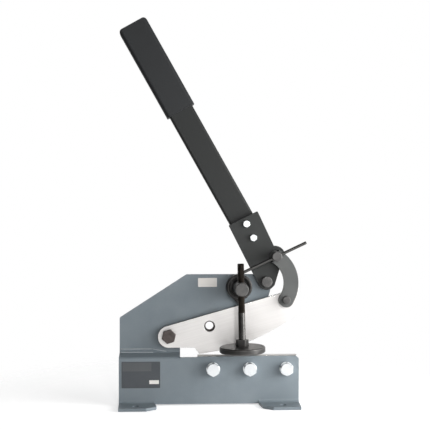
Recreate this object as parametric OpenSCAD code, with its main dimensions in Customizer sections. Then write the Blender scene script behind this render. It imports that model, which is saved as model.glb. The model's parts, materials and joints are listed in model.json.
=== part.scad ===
/*
Bench lever shear for plate and round bar, 200 mm blades.
X runs along the blades, Y from the operator to the rear, Z up.
The origin is on the bench, in the middle of the four bolt holes, under the shear plane.
*/

/* [Frame] */
// Width of the frame along the blades
frame_w = 360; // [330:1:420]
// Height of the tall rear plate
frame_h = 259.5; // [255:0.5:280]
// Thickness of the frame plates
plate_t = 6; // [5:0.5:8]
// Height where the sloping shoulder of the rear plate starts
shoulder_z = 172.5; // [150:0.5:200]
// Length of the sloping shoulder along X
shoulder_run = 135; // [80:1:160]
// Radius of the shoulder's upper corner
shoulder_r = 6; // [2:1:20]
// Height of the front panel's top edge
panel_h = 97; // [90:1:110]
// Distance of the shelf's front bend below the panel's top edge
shelf_drop = 1; // [1:0.5:10]
// Rise of the shelf from its front bend to the rear plate
shelf_rise = 6; // [0:1:9]
// Radius inside the shelf's front bend
shelf_bend_r = 0.5; // [0.5:0.5:4]
// Width of the throat between the shelf and the lower blade
throat_w = 34.5; // [25:0.5:45]
// Height of the throat's roof above the cutting edge
throat_h = 19.3; // [14:0.1:22]
// Depth of the throat's floor below the panel's top edge
throat_drop = 1.5; // [0:0.5:3]
// Distance of the rear plate's jaw below the panel's top edge
jaw_drop = 27; // [20:1:35]
// Wall of the rear plate under the bar die
neck_wall = 3.4; // [3:0.2:8]
// Distance of the rear plate's nose from the lever pivot
nose_w = 13.3; // [12:0.1:15]
// Length of the nose below the lever pivot
nose_len = 43.5; // [35:0.5:48]
// Lean of the nose's edge from upright, in degrees
nose_lean = 16; // [10:0.5:20]
// Radius of the rear plate's corners at jaw and throat
jaw_r = 9.5; // [4:0.5:14]
// Gap between the panel's bottom edge and the bench
panel_lift = 2.5; // [1:0.5:6]
// Chamfer at the panel's upper right corner
panel_chamfer = 5; // [2:1:10]
// Radius inside a bend of the plates
bend_r = 6; // [4:0.5:10]
// Height of the spacer bar between the plates
spacer_h = 25; // [16:1:30]
// Distance of the spacer bar's ends from the frame's ends
spacer_inset = 38; // [20:1:60]

/* [Feet] */
// Width of each foot along X
foot_w = 76; // [60:1:90]
// Reach of a foot from its plate
foot_reach = 50; // [45:1:60]
// Chamfer of the front feet along X
foot_chamfer_x = 20; // [5:1:30]
// Chamfer of the front feet along Y
foot_chamfer_y = 15; // [5:1:20]
// Distance that the feet's inner ends slant to the left, from their chamfers to the panel
foot_skew = 5; // [0:0.5:8]
// Distance that each outer end slants in towards its tip
foot_taper = 2; // [0:0.5:4]
// Diameter of the bench bolt holes
foot_hole_d = 13; // [8.4:0.1:13.5]
// Distance of the bolt holes from the frame's ends
foot_hole_end = 35; // [20:1:45]
// Distance of the bolt holes from the front feet's tips
foot_hole_tip = 20; // [14:1:22]

/* [Lower blade] */
// Length of the lower blade
lower_len = 200; // [180:1:203]
// Height of the lower blade
lower_h = 50; // [44:1:52]
// Thickness of the lower blade
lower_t = 12; // [10:0.5:14]
// Distance of the lower blade's right end from the frame's right end
lower_end = 3.5; // [0:0.5:10]
// Height of the cutting edge above the panel
lower_stand = 1.7; // [1:0.1:6]
// Width of the bevel along the blade's top front edge
lower_bevel = 2; // [1:0.5:6]
// Distance from the blade's left end to its first bolt
bolt_start = 31.5; // [25:0.5:40]
// Distance from the blade's right end to its last bolt
bolt_finish = 21.5; // [16:0.5:40]
// Distance of the blade bolts below the cutting edge
bolt_drop = 26.7; // [24:0.1:32]

/* [Upper blade] */
// Thickness of the upper blade
upper_t = 9.6; // [8:0.2:12]
// Distance of the blade pivot to the left of the throat
pivot_inset = 22.7; // [20:0.1:26]
// Height of the blade pivot above the cutting edge
pivot_rise = 36.9; // [32:0.1:38]
// Radius of the blade's round end
tail_r = 22; // [19:0.5:24]
// Distance of the round end's centre below the blade pivot
tail_drop = 1.4; // [0:0.1:2]
// Clearance between the blade's top edge and the lever plate's round end
lever_clear = 14; // [4:0.5:18]
// Distance that the blade reaches past the lower blade's right end
blade_overhang = 5.8; // [0:0.1:12]
// Height of the blade's right end
blade_end_h = 50.7; // [44:0.1:56]
// Distance of the heel of the cutting edge from the pivot along X
heel_run = 61.7; // [58:0.1:66]
// Height of the heel above the lower blade's edge
heel_gap = 0.7; // [0.3:0.1:3]
// Length of the slanted step between heel and round end
step_run = 10; // [6:0.5:14]
// Bow of the curved cutting edge
edge_bow = 15; // [8:0.5:18]
// Distance of the round bar hole to the right of the blade pivot
bar_run = 82.2; // [76:0.1:90]
// Distance of the bar hole below the blade's top edge
bar_drop = 25; // [20:0.1:30]
// Diameter of the bar hole in the blade
bar_hole_d = 22; // [18:0.5:24]
// Largest round bar that the die takes
bar_d = 16; // [10:0.5:17]
// Outer diameter of the bar die
die_d = 34; // [30:0.5:40]

/* [Lever] */
// Distance of the lever pivot from the frame's right end
lever_inset = 63; // [60:0.5:70]
// Distance of the lever pivot below the frame's top edge
lever_drop = 14.5; // [12:0.5:20]
// Radius of the lever plate's round end
lug_r = 17; // [15:0.5:20]
// Radius of the lever plate's ear
ear_r = 20.5; // [18:0.5:22]
// Distance of the lever plate's slanted lower edge from its pivot
slant_w = 18; // [17:0.5:20]
// Slant of that edge from upright, in degrees
slant = 17; // [14:0.5:22]
// Width of the lever plate
lever_plate_w = 62.5; // [58:0.5:68]
// Distance that the lever plate widens to each side up to its end
plate_flare = 1.4; // [0:0.2:3]
// Length of the lever plate above its pivot
lever_plate_len = 136; // [130:1:145]
// Lean of the lever plate from upright, in degrees
plate_lean = 26.3; // [24:0.1:29]
// Lean of the lever tube from upright, in degrees
tube_lean = 29.4; // [27:0.1:32]
// Width of the lever tube
tube_w = 52.5; // [40:0.5:54]
// Depth of the lever tube
tube_d = 20; // [16:0.5:25]
// Wall of the lever tube
tube_wall = 2.5; // [2:0.5:4]
// Length of the lever tube
tube_len = 509; // [400:1:560]
// Distance of the upper handle bolt from the lever pivot, across the lever plate
handle_bolt_side = 15.5; // [8:0.5:22]
// Distance of the upper handle bolt below the lever plate's end
handle_bolt_drop = 13.3; // [10:0.1:20]
// Offset of the tube's middle line to the left of its bolts
tube_offset = 3.5; // [0:0.5:4]
// Distance between the two handle bolts
handle_bolt_pitch = 31.5; // [28:0.5:36]
// Distance of the tube's lower end below the lower handle bolt
tube_tail = 19; // [14:0.5:24]
// Length of the grip
grip_len = 202; // [160:1:220]
// Wall of the grip round the tube
grip_wall = 5; // [3:0.5:8]
// Thickness of the grip's closed end
grip_end = 8; // [4:0.5:12]
// Radius of the grip's end corners
grip_end_r = 8; // [2:0.5:12]

/* [Link] */
// Distance of the upper link pin inside the lever plate's right edge
ear_inset = 6.7; // [2:0.1:10]
// Distance of the upper link pin above the lever pivot, along the lever plate
ear_rise = 38.8; // [34:0.1:44]
// Distance of the lower link pin from the upper blade's right end
pin_end = 26.5; // [20:0.5:34]
// Distance of the lower link pin below the blade's top edge
pin_drop = 15; // [12:0.5:20]
// Thickness of the link
link_t = 12; // [8:0.5:14]
// Width of the link's curved bar
link_w = 29; // [22:0.5:30]
// Radius of the middle line of the curved bar
link_bend_r = 62.6; // [56:0.1:70]
// Radius of the link's upper eye
upper_eye_r = 11; // [10:0.5:15]
// Radius of the link's lower eye
lower_eye_r = 15; // [12:0.5:16]
// Diameter of the link pins
link_pin_d = 12; // [10:0.5:13]
// Diameter of the lower link pin's head
link_head_d = 16; // [14:0.5:20]
// Height of the lower link pin's head
link_head_h = 7; // [2:0.5:8]
// Width of the retaining clip round the pin
clip_w = 2; // [1:0.1:3]
// Thickness of the retaining clip
clip_t = 1.2; // [0.8:0.1:2]
// Depth of the clip's groove
groove_depth = 0.8; // [0.4:0.1:1.2]

/* [Lock screw] */
// Diameter of the lock screw's head
lock_head_d = 20; // [18:0.5:24]
// Height of the lock screw's head
lock_head_h = 24; // [16:0.5:26]
// Distance of the tommy bar in front of the head's seat
tommy_out = 14; // [8:0.5:16]
// Diameter of the tommy bar
tommy_d = 6; // [5:0.5:7]
// Length of the tommy bar
tommy_len = 142; // [120:1:145]
// Distance that the tommy bar is pushed to the left of its middle
tommy_shift = 5.5; // [-8:0.5:8]
// Slope of the tommy bar, in degrees
tommy_slope = 25.2; // [20:0.1:30]

/* [Hold-down] */
// Distance of the hold-down to the left of the lever pivot
hold_run = 55.5; // [50:0.5:62]
// Height of the hold-down's post above the blade's top edge
hold_rise = 37.5; // [36:0.5:42]
// Lean of the hold-down screw from upright, in degrees
hold_lean = 1.2; // [0:0.1:2]
// Outer diameter of the collar
collar_d = 52; // [48:0.5:56]
// Wall of the collar
collar_wall = 6.5; // [5:0.5:8]
// Height of the collar in front of its flange
collar_h = 14; // [8:0.5:20]
// Thickness of the teardrop flange
flange_t = 5; // [4:0.5:6]
// Gap between the flange's tip and the blade's top edge
flange_gap = 2.5; // [1:0.5:6]
// Diameter of the post
post_d = 27; // [24:0.5:30]
// Reach of the post in front of the rear plate
post_reach = 80; // [76:0.5:90]
// Distance of the screw's axis behind the post's end
screw_inset = 20; // [16:0.5:24]
// Thread diameter of the hold-down screw
screw_d = 14; // [10:0.5:15]
// Length of the hold-down screw
screw_len = 168; // [150:1:170]
// Height of the pressure disc above the lower blade at rest
disc_gap = 11.3; // [6:0.1:14]
// Diameter of the pressure disc
disc_d = 90; // [70:1:96]
// Thickness of the pressure disc
disc_t = 12; // [9:0.5:14]
// Width across the flats of the lock nut
lock_nut_af = 22; // [18:0.5:24]
// Height of the lock nut
lock_nut_h = 13; // [8:0.5:16]
// Turn of the lock nut on the screw, in degrees
lock_nut_turn = 9; // [0:1:30]

/* [Fasteners] */
// Shank diameter of the pivot and blade bolts
bolt_d = 16; // [14:0.5:16]
// Width across the flats of their heads
bolt_af = 24; // [21:0.5:24]
// Height of their heads
bolt_head_h = 10; // [8:0.5:12]
// Width across the flats of the blade pivot's head
pivot_head_af = 25.5; // [24:0.5:27]
// Diameter of the lever pivot pin's round head
pin_head_d = 22.5; // [20:0.5:26]
// Height of the lever pivot pin's head
pin_head_h = 9; // [4:0.5:10]
// Height of their nuts
bolt_nut_h = 13; // [10:0.5:15]
// Length of the bolts past their nuts
bolt_past = 3; // [1:0.5:6]
// Outer diameter of their washers
bolt_washer_d = 29; // [26:0.5:32]
// Thickness of their washers
bolt_washer_t = 3; // [2:0.25:4]
// Outer diameter of the spring washers under the blade bolts
spring_washer_d = 27.5; // [25:0.5:30]
// Distance of the blade bolts' ends from the blade's rear face
bolt_short = 1.5; // [0.5:0.5:4]
// Shank diameter of the handle bolts
handle_bolt_d = 8; // [6:0.5:8]
// Width across the flats of the handle bolts
handle_af = 13; // [10:0.5:13]
// Height of the handle bolts' heads
handle_head_h = 5.3; // [4:0.1:7]
// Height of the handle bolts' nuts
handle_nut_h = 6.5; // [5:0.5:8]
// Outer diameter of the handle bolts' washers
handle_washer_d = 16; // [14:0.5:18]
// Thickness of the handle bolts' washers
handle_washer_t = 1.6; // [1.2:0.1:2]
// Length of the handle bolts past their nuts
handle_past = 1.6; // [0.8:0.1:4]

/* [Clearances] */
// Clearance on each side of the upper blade
slide_gap = 0.2; // [0.1:0.05:0.4]
// Clearance between the link and the blade behind it
link_gap = 0.5; // [0.3:0.05:1]
// Clearance round a turning pin
turn_gap = 0.05; // [0.03:0.01:0.1]
// Clearance round a fixed shank
fixed_gap = 0.1; // [0.05:0.01:0.2]
// Clearance under the head of a turning pin
head_gap = 0.3; // [0.2:0.05:0.5]

/* [Hidden] */

$fn = 64;
overrun = 1;
arc_step = 6;

// Layers from front to rear
panel_back = -lower_t;
panel_front = panel_back - plate_t;
tall_front = upper_t + 2 * slide_gap;
tall_back = tall_front + plate_t;
blade_front = slide_gap;
blade_back = blade_front + upper_t;
link_back = blade_front - link_gap;
link_front = link_back - link_t;
tube_front = blade_back;
tube_back = tube_front + tube_d;
pivot_end = tall_back + bolt_washer_t + bolt_nut_h + bolt_past;

// Ends and heights that several pieces share
right = frame_w / 2;
edge_z = panel_h + lower_stand;
lower_right = right - lower_end;
lower_left = lower_right - lower_len;
throat_x = lower_left - throat_w;
blade_right = lower_right + blade_overhang;
foot_hole_x = right - foot_hole_end;
foot_hole_y = foot_reach - foot_hole_tip - panel_front;

// Directions in the XZ plane
function heading(a) = [cos(a), sin(a)];
plate_up = heading(90 + plate_lean);
plate_side = heading(plate_lean);
tube_up = heading(90 + tube_lean);
tube_side = heading(tube_lean);

// Pivots as [X, Z]. The blade's top edge runs clear of the lever plate's round end
pivot = [throat_x - pivot_inset, edge_z + pivot_rise];
tail = pivot - [0, tail_drop];
lever_pivot = [right - lever_inset, frame_h - lever_drop];
tail_line = lever_pivot - tail;
top_slope = atan2(tail_line.y, tail_line.x) - asin((tail_r + lug_r + lever_clear) / norm(tail_line));
function below_top(x, drop) =
  [x, tail.y + tail_r / cos(top_slope) + (x - tail.x) * tan(top_slope) - drop];
function on_plate(side, up) = lever_pivot + side * plate_side + up * plate_up;
bar_hole = below_top(pivot.x + bar_run, bar_drop);
lower_pin = below_top(blade_right - pin_end, pin_drop);
upper_pin = on_plate(lever_plate_w - lug_r - ear_inset, ear_rise);
upper_handle_bolt = on_plate(handle_bolt_side, lever_plate_len - handle_bolt_drop);
hold = below_top(lever_pivot.x - hold_run, -hold_rise);

// Places along Y and Z of the link's fittings and the hold-down
clip_from = blade_back + head_gap;
lock_seat = link_front - head_gap;
screw_y = tall_front - post_reach + screw_inset;
disc_z = edge_z + disc_gap;
screw_seat = disc_z + disc_t / 2;

function unit(v) = v / norm(v);

// Where the line through a with direction u meets the line through b with direction v
function meet(a, u, b, v) = a + u * cross(b - a, v) / cross(u, v);

// Points of a corner at b, between a and c, rounded to radius r
function corner(a, b, c, r) =
  r == 0 ? [b] :
  let (
    u = unit(a - b), w = unit(c - b), half = acos(u * w) / 2,
    centre = b + unit(u + w) * r / sin(half),
    from = b + u * r / tan(half) - centre,
    to = b + w * r / tan(half) - centre,
    start = atan2(from.y, from.x),
    turn = atan2(cross(from, to), from * to),
    n = ceil(abs(turn) / arc_step)
  )
  [for (i = [0:n]) centre + r * heading(start + turn * i / n)];

// Outline through points [x, y, radius], each corner rounded to its radius
function rounded(points) =
  let (n = len(points), flat = [for (p = points) [p.x, p.y]])
  [for (i = [0:n - 1]) each corner(flat[(i + n - 1) % n], flat[i], flat[(i + 1) % n], points[i].z)];

// Points of an arc round a centre
function arc(centre, r, start, end) =
  let (n = ceil(abs(end - start) / arc_step))
  [for (i = [0:n]) centre + r * heading(start + (end - start) * i / n)];

// An XZ outline extruded from one Y to another
module slab(from, to) {
  translate([0, to, 0]) rotate([90, 0, 0]) linear_extrude(to - from) children();
}

// A YZ outline extruded from one X to another
module run(from, to) {
  translate([from, 0, 0]) rotate([90, 0, 90]) linear_extrude(to - from) children();
}

// A round bar along Y at an [X, Z] place
module round_y(place, d, from, to) {
  translate([place.x, from, place.y]) rotate([-90, 0, 0]) cylinder(d = d, h = to - from);
}

// A ring along Y at an [X, Z] place
module ring_y(place, d_out, d_in, from, to) {
  difference() {
    round_y(place, d_out, from, to);
    round_y(place, d_in, from - overrun, to + overrun);
  }
}

// A round head along Y in front of its seat, with a softly rounded front edge
module round_head(place, d, h, seat) {
  edge_r = min(d / 12, h / 4);
  translate([place.x, seat, place.y]) rotate([90, 0, 0]) rotate_extrude()
    polygon(rounded([[0, 0, 0], [d / 2, 0, 0], [d / 2, h, edge_r], [0, h, 0]]));
}

// A hexagon prism along Y, turned by an angle, with the corners cut back at its front or rear end
module hex_y(place, af, from, to, turn = 0, cut_rear = false) {
  across = af / cos(30);
  h = to - from;
  wide = across / 2 + overrun;
  cut = wide - af / 2;
  rim = cut_rear ? [[wide, 0], [wide, h - cut], [af / 2, h]] : [[af / 2, 0], [wide, cut], [wide, h]];
  translate([place.x, from, place.y]) rotate([-90, turn, 0]) intersection() {
    cylinder(d = across, h = h, $fn = 6);
    rotate_extrude() polygon(concat([[0, 0]], rim, [[0, h]]));
  }
}

// Frame

// Front and rear feet share this bent profile: outer face, inner face and tip as Y values
module foot_profile(outer, inner, tip) {
  rise = plate_t + bend_r + panel_lift;
  polygon(rounded([
    [inner, rise, 0], [inner, 0, bend_r + plate_t], [tip, 0, 0],
    [tip, plate_t, 0], [outer, plate_t, bend_r], [outer, rise, 0]
  ]));
}

module foot_holes(y) {
  for (side = [-1, 1])
    translate([side * foot_hole_x, y, -overrun]) cylinder(d = foot_hole_d, h = plate_t + 2 * overrun);
}

// Plan of a front foot, for the right side or the left
module foot_plan(side) {
  inner_x = side * (right - foot_w);
  tip = panel_front - foot_reach;
  polygon([
    [inner_x - foot_skew, panel_back], [inner_x - foot_skew, panel_front], [inner_x, tip + foot_chamfer_y],
    [inner_x + side * foot_chamfer_x, tip], [side * (right - foot_taper), tip],
    [side * right, panel_front], [side * right, panel_back]
  ]);
}

module front_feet() difference() {
  intersection() {
    for (side = [0, 1]) mirror([side, 0, 0])
      run(right - foot_w - foot_skew, right) foot_profile(panel_front, panel_back, panel_front - foot_reach);
    for (side = [-1, 1]) linear_extrude(panel_h) foot_plan(side);
  }
  foot_holes(-foot_hole_y);
}

module front_panel() {
  shelf_z = panel_h - shelf_drop;
  shelf_slope = shelf_rise / (tall_front - panel_front);
  drop = plate_t * norm([1, shelf_slope]);
  slab(panel_front, panel_back) polygon([
    [throat_x, panel_lift], [right, panel_lift], [right, panel_h - panel_chamfer],
    [right - panel_chamfer, panel_h], [lower_left, panel_h], [lower_left, panel_h - throat_drop],
    [throat_x, panel_h - throat_drop]
  ]);
  run(-right, throat_x) polygon(rounded([
    [panel_front, panel_lift, 0], [panel_front, shelf_z, shelf_bend_r + plate_t],
    [tall_front, shelf_z + shelf_rise, 0], [tall_front, shelf_z + shelf_rise - drop, 0],
    [panel_back, shelf_z + shelf_slope * plate_t - drop, shelf_bend_r], [panel_back, panel_lift, 0]
  ]));
}

module blade_bolt_places() {
  first = [lower_left + bolt_start, edge_z - bolt_drop];
  last = [lower_right - bolt_finish, edge_z - bolt_drop];
  for (i = [0:2]) {
    $place = first + (last - first) * i / 2;
    children();
  }
}

module front_plate() color("slategray") difference() {
  union() {
    front_panel();
    front_feet();
  }
  blade_bolt_places() round_y($place, bolt_d + 2 * fixed_gap, panel_front - overrun, panel_back + overrun);
}

module rear_outline() {
  nose_up = heading(90 - nose_lean);
  nose = lever_pivot + nose_w * heading(-nose_lean);
  jaw_z = panel_h - jaw_drop;
  polygon(rounded([
    [-right, panel_lift, 0], [-right, shoulder_z, shoulder_r / 2],
    [shoulder_run - right, frame_h, shoulder_r],
    [each meet([right, frame_h], [1, 0], nose, nose_up), nose_w],
    [each nose - nose_len * nose_up, jaw_r],
    [bar_hole.x + die_d, bar_hole.y - die_d / 2 - neck_wall, die_d],
    [throat_x, edge_z + throat_h, jaw_r],
    [throat_x, jaw_z, jaw_r], [right, jaw_z, jaw_r], [right, panel_lift, 0]
  ]));
}

module rear_plate() color("slategray") difference() {
  union() {
    slab(tall_front, tall_back) rear_outline();
    for (side = [0, 1]) mirror([side, 0, 0])
      run(right - foot_w, right) foot_profile(tall_back, tall_front, tall_back + foot_reach);
  }
  foot_holes(foot_hole_y);
  for (place = [pivot, lever_pivot, hold])
    round_y(place, bolt_d + 2 * fixed_gap, tall_front - overrun, tall_back + overrun);
  round_y(bar_hole, die_d + 2 * fixed_gap, tall_front - overrun, tall_back + overrun);
}

module jaw_spacer() color("slategray")
  translate([spacer_inset - right, panel_back, (edge_z - lower_h - spacer_h) / 2])
    cube([frame_w - 2 * spacer_inset, tall_front - panel_back, spacer_h]);

// Blades

module lower_blade() color("silver") difference() {
  run(lower_left, lower_right) polygon([
    [panel_back, edge_z - lower_h], [0, edge_z - lower_h], [0, edge_z],
    [panel_back + lower_bevel, edge_z], [panel_back, edge_z - lower_bevel / 2]
  ]);
  blade_bolt_places() round_y($place, bolt_d + 2 * turn_gap, panel_back - overrun, overrun);
}

module blade_bolts() color("gainsboro") {
  seat = panel_front - bolt_washer_t;
  blade_bolt_places() {
    round_y($place, bolt_d, seat - bolt_head_h / 2, -bolt_short);
    hex_y($place, bolt_af, seat - bolt_head_h, seat, 30);
  }
}

module blade_bolt_washers() color("silver") {
  blade_bolt_places()
    ring_y($place, spring_washer_d, bolt_d + 2 * fixed_gap, panel_front - bolt_washer_t, panel_front);
}

module bar_die() color("dimgray")
  ring_y(bar_hole, die_d, bar_d, tall_front, tall_back);

module upper_blade_outline() {
  top_right = below_top(blade_right, 0);
  toe = below_top(blade_right, blade_end_h);
  heel = [pivot.x + heel_run, edge_z + heel_gap];
  half = norm(toe - heel) / 2;
  edge_r = (half ^ 2 + edge_bow ^ 2) / (2 * edge_bow);
  along = unit(toe - heel);
  centre = (toe + heel) / 2 + [-along.y, along.x] * (edge_r - edge_bow);
  spread = asin(half / edge_r);
  down = atan2(-along.x, along.y);
  polygon(concat(
    [top_right],
    arc(centre, edge_r, down + spread, down - spread),
    [[heel.x - step_run, tail.y - tail_r]],
    arc(tail, tail_r, 270, 90 + top_slope)
  ));
}

module upper_blade() color("gainsboro") difference() {
  slab(blade_front, blade_back) upper_blade_outline();
  round_y(pivot, bolt_d + 2 * turn_gap, blade_front - overrun, blade_back + overrun);
  round_y(bar_hole, bar_hole_d, blade_front - overrun, blade_back + overrun);
  round_y(lower_pin, link_pin_d + 2 * fixed_gap, blade_front - overrun, blade_back + overrun);
}

// Pivots through the rear plate: a head in front, a washer and a nut behind

module pivot_washer(place)
  ring_y(place, bolt_washer_d, bolt_d + 2 * fixed_gap, tall_back, tall_back + bolt_washer_t);

module pivot_nut(place, turn = 0) difference() {
  seat = tall_back + bolt_washer_t;
  hex_y(place, bolt_af, seat, seat + bolt_nut_h, turn, cut_rear = true);
  round_y(place, bolt_d + 2 * fixed_gap, seat - overrun, seat + bolt_nut_h + overrun);
}

module blade_pivot_bolt() color("dimgray") {
  seat = blade_front - head_gap;
  round_y(pivot, bolt_d, seat, pivot_end);
  hex_y(pivot, pivot_head_af, seat - bolt_head_h, seat, -16);
}

module blade_pivot_washer() color("dimgray") pivot_washer(pivot);

module blade_pivot_nut() color("dimgray") pivot_nut(pivot, 10);

module lever_pivot_pin() color("dimgray") {
  seat = blade_front - head_gap;
  round_y(lever_pivot, bolt_d, seat, pivot_end);
  round_head(lever_pivot, pin_head_d, pin_head_h, seat);
}

module lever_pivot_washer() color("dimgray") pivot_washer(lever_pivot);

module lever_pivot_nut() color("dimgray") pivot_nut(lever_pivot);

// Lever

module lever_plate_outline() {
  right = lever_plate_w - lug_r;
  corner_r = lug_r / 8;
  low = -45;
  slant_out = heading(-slant);
  slant_up = heading(90 - slant);
  slant_foot = meet(lever_pivot + lug_r * heading(low), heading(90 + low),
    lever_pivot + slant_w * slant_out, slant_up);
  ear_start = -slant - acos((slant_w - (upper_pin - lever_pivot) * slant_out) / ear_r);
  polygon(rounded(concat(
    [[each on_plate(-lug_r - plate_flare, lever_plate_len), corner_r]],
    [for (p = arc(lever_pivot, lug_r, 180 + plate_lean, 360 + low)) [each p, 0]],
    [[each slant_foot, lug_r / 3]],
    [for (p = arc(upper_pin, ear_r, ear_start, plate_lean + acos(ear_inset / ear_r))) [each p, 0]],
    [[each on_plate(right + plate_flare, lever_plate_len), corner_r]]
  )));
}

module lever_plate() color("dimgray") difference() {
  slab(blade_front, blade_back) lever_plate_outline();
  round_y(lever_pivot, bolt_d + 2 * turn_gap, blade_front - overrun, blade_back + overrun);
  round_y(upper_pin, link_pin_d + 2 * turn_gap, blade_front - overrun, blade_back + overrun);
  handle_bolt_places()
    round_y($place, handle_bolt_d + 2 * fixed_gap, blade_front - overrun, blade_back + overrun);
}

module handle_bolt_places() {
  for (i = [0, 1]) {
    $place = upper_handle_bolt - i * handle_bolt_pitch * plate_up;
    children();
  }
}

// Places its children with X across the lever, Y along it from the tube's lower end
module along_lever() {
  foot = upper_handle_bolt - (handle_bolt_pitch + tube_tail) * tube_up - tube_offset * tube_side;
  translate([foot.x, 0, foot.y]) rotate([0, -tube_lean, 0]) children();
}

// A box along the lever with rounded long edges, from one height to another
module lever_box(w, front, back, r, from, to) {
  translate([0, 0, from]) linear_extrude(to - from) polygon(rounded([
    [-w / 2, front, r], [w / 2, front, r], [w / 2, back, r], [-w / 2, back, r]
  ]));
}

module lever_tube() color("dimgray") difference() {
  wall = tube_wall;
  along_lever() difference() {
    lever_box(tube_w, tube_front, tube_back, 2 * wall, 0, tube_len);
    lever_box(tube_w - 2 * wall, tube_front + wall, tube_back - wall, wall, -overrun, tube_len + overrun);
  }
  handle_bolt_places()
    round_y($place, handle_bolt_d + 2 * fixed_gap, tube_front - overrun, tube_back + overrun);
}

module grip() color("darkslategray") along_lever() difference() {
  top = tube_len + fixed_gap + grip_end;
  foot = top - grip_len;
  half = tube_w / 2 + grip_wall;
  front = tube_front - grip_wall;
  back = tube_back + grip_wall;
  r = grip_wall + tube_wall;
  inner_r = 2 * tube_wall;
  intersection() {
    lever_box(2 * half, front, back, r, foot, top);
    slab(front - overrun, back + overrun) polygon(rounded([
      [-half, foot, 0], [half, foot, 0], [half, top, grip_end_r], [-half, top, grip_end_r]
    ]));
  }
  lever_box(tube_w + 2 * fixed_gap, tube_front - fixed_gap, tube_back + fixed_gap, inner_r,
    foot - overrun, tube_len + fixed_gap);
}

module handle_bolts() color("gainsboro") {
  nut_end = tube_back + handle_washer_t + handle_nut_h;
  handle_bolt_places() {
    round_y($place, handle_bolt_d, blade_front - handle_head_h / 2, nut_end + handle_past);
    hex_y($place, handle_af, blade_front - handle_head_h, blade_front, plate_lean);
  }
}

module handle_washers() color("gainsboro") handle_bolt_places()
  ring_y($place, handle_washer_d, handle_bolt_d + 2 * fixed_gap, tube_back, tube_back + handle_washer_t);

module handle_nuts() color("gainsboro") {
  seat = tube_back + handle_washer_t;
  handle_bolt_places() difference() {
    hex_y($place, handle_af, seat, seat + handle_nut_h, tube_lean, cut_rear = true);
    round_y($place, handle_bolt_d + 2 * fixed_gap, seat - overrun, seat + handle_nut_h + overrun);
  }
}

// Link

module link_outline() {
  span = lower_pin - upper_pin;
  half = norm(span) / 2;
  away = unit([span.y, -span.x]);
  centre = (upper_pin + lower_pin) / 2 + away * sqrt(link_bend_r ^ 2 - half ^ 2);
  from = atan2(lower_pin.y - centre.y, lower_pin.x - centre.x);
  to = atan2(upper_pin.y - centre.y, upper_pin.x - centre.x);
  polygon(concat(
    arc(centre, link_bend_r + link_w / 2, from, to),
    arc(centre, link_bend_r - link_w / 2, to, from)
  ));
}

module link() color("gray") difference() {
  slab(link_front, link_back) {
    link_outline();
    translate(upper_pin) circle(r = upper_eye_r);
    translate(lower_pin) circle(r = lower_eye_r);
  }
  round_y(upper_pin, link_pin_d + 2 * turn_gap, link_front - overrun, link_back + overrun);
  round_y(lower_pin, link_pin_d + 2 * fixed_gap, link_front - overrun, link_back + overrun);
}

// The lower pin in two halves, one in the link and one in the blade
module link_pin_front() color("dimgray") {
  round_y(lower_pin, link_pin_d, link_front, link_back);
  round_head(lower_pin, link_head_d, link_head_h, link_front);
}

module link_pin_rear() color("dimgray") {
  round_y(lower_pin, link_pin_d, blade_front, clip_from);
  round_y(lower_pin, link_pin_d - 2 * groove_depth, clip_from, clip_from + clip_t);
  round_y(lower_pin, link_pin_d, clip_from + clip_t, clip_from + 2 * clip_t);
}

module link_pin_clip() color("darkgray") difference() {
  ring_y(lower_pin, link_pin_d + 2 * clip_w, link_pin_d - 2 * groove_depth + fixed_gap,
    clip_from, clip_from + clip_t);
  translate([lower_pin.x - clip_w, clip_from - overrun, lower_pin.y - link_pin_d])
    cube([2 * clip_w, clip_t + 2 * overrun, link_pin_d]);
}

// Lock screw and its tommy bar

module along_tommy()
  translate([upper_pin.x, lock_seat - tommy_out, upper_pin.y]) rotate([0, 90 - tommy_slope, 0]) children();

module lock_screw() color("dimgray") difference() {
  union() {
    round_y(upper_pin, link_pin_d, lock_seat, blade_back - head_gap);
    round_head(upper_pin, lock_head_d, lock_head_h, lock_seat);
  }
  along_tommy() translate([0, 0, -lock_head_d]) cylinder(d = tommy_d + 2 * turn_gap, h = 2 * lock_head_d);
}

module tommy_bar() color("darkgray") along_tommy()
  translate([0, 0, -tommy_len / 2 - tommy_shift]) rotate_extrude() polygon(rounded([
    [0, 0, 0], [tommy_d / 2, 0, tommy_d / 6], [tommy_d / 2, tommy_len, tommy_d / 6], [0, tommy_len, 0]
  ]));

// Hold-down

module hold_down_flange() color("dimgray") difference() {
  tip = hold - [0, hold_rise - flange_gap];
  tip_r = flange_t / 2;
  reach = hold_rise - flange_gap - tip_r;
  side = acos((collar_d / 2 - tip_r) / reach);
  slab(tall_front - flange_t, tall_front) {
    translate(hold) circle(d = collar_d);
    polygon([
      hold + collar_d / 2 * heading(-90 - side), tip + [0, tip_r] + tip_r * heading(-90 - side),
      tip + [0, tip_r] + tip_r * heading(-90 + side), hold + collar_d / 2 * heading(-90 + side)
    ]);
    translate(tip + [0, tip_r]) circle(r = tip_r);
  }
  round_y(hold, post_d + 2 * fixed_gap, tall_front - flange_t - overrun, tall_front + overrun);
}

module hold_down_collar() color("dimgray") {
  back = tall_front - flange_t;
  ring_y(hold, collar_d, collar_d - 2 * collar_wall, back - collar_h, back);
}

// Places its children on the leaning screw, with Z along it and from this height
module along_screw(z)
  translate([hold.x, screw_y, hold.y]) rotate([0, -hold_lean, 0]) translate([0, 0, z - hold.y]) children();

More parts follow.
